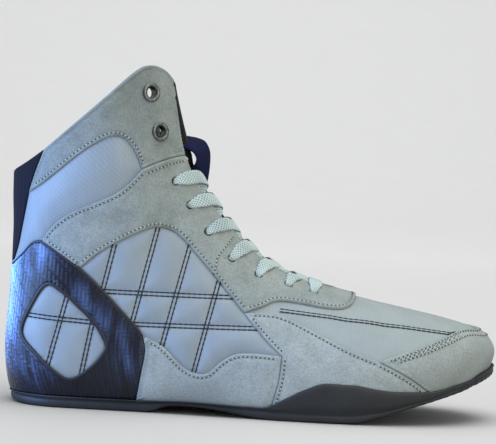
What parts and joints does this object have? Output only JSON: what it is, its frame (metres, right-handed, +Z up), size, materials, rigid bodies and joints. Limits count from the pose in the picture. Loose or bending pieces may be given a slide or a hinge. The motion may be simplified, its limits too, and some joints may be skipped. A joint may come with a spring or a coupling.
{
  "type": "high-top athletic shoe",
  "caption": "High-top athletic shoe for the right foot, pale grey suede and satin with quilted sides, dark woven heel counter, flat laces and a thin black rubber sole.",
  "frame": {"origin": "middle of the shoe's outline, on the floor it stands on", "axes": "+X to the toe, +Y to the medial side, +Z up; the lateral side faces -Y"},
  "size_m": [0.2912, 0.1054, 0.2007],
  "materials": {
    "suede": "napped, matte",
    "satin_fabric": "satin weave",
    "counter_weave": "woven look under a clear gloss",
    "black_elastic": "ribbed elastic",
    "tongue_fabric": "padded cloth",
    "webbing": "woven tape",
    "lace_braid": "flat braid",
    "eyelet_metal": "pewter, satin",
    "outsole_rubber": "matte",
    "insole_fabric": "matte"
  },
  "bodies": {
    "root": {"upper": "satin_fabric", "toe_cap": "suede", "eyestay": "suede", "heel_counter": "counter_weave", "achilles_panel": "black_elastic", "collar_cuff_lateral": "suede", "collar_cuff_medial": "suede", "mudguard_lateral": "suede", "mudguard_medial": "suede", "forefoot_overlay_lateral": "suede", "forefoot_overlay_medial": "suede", "tongue": "tongue_fabric", "pull_loop": "webbing", "lace": "lace_braid", "eyelet_ring_upper_lateral": "eyelet_metal", "eyelet_ring_lower_lateral": "eyelet_metal", "eyelet_ring_upper_medial": "eyelet_metal", "eyelet_ring_lower_medial": "eyelet_metal", "outsole": "outsole_rubber", "insole": "insole_fabric"}
  },
  "joints": []
}
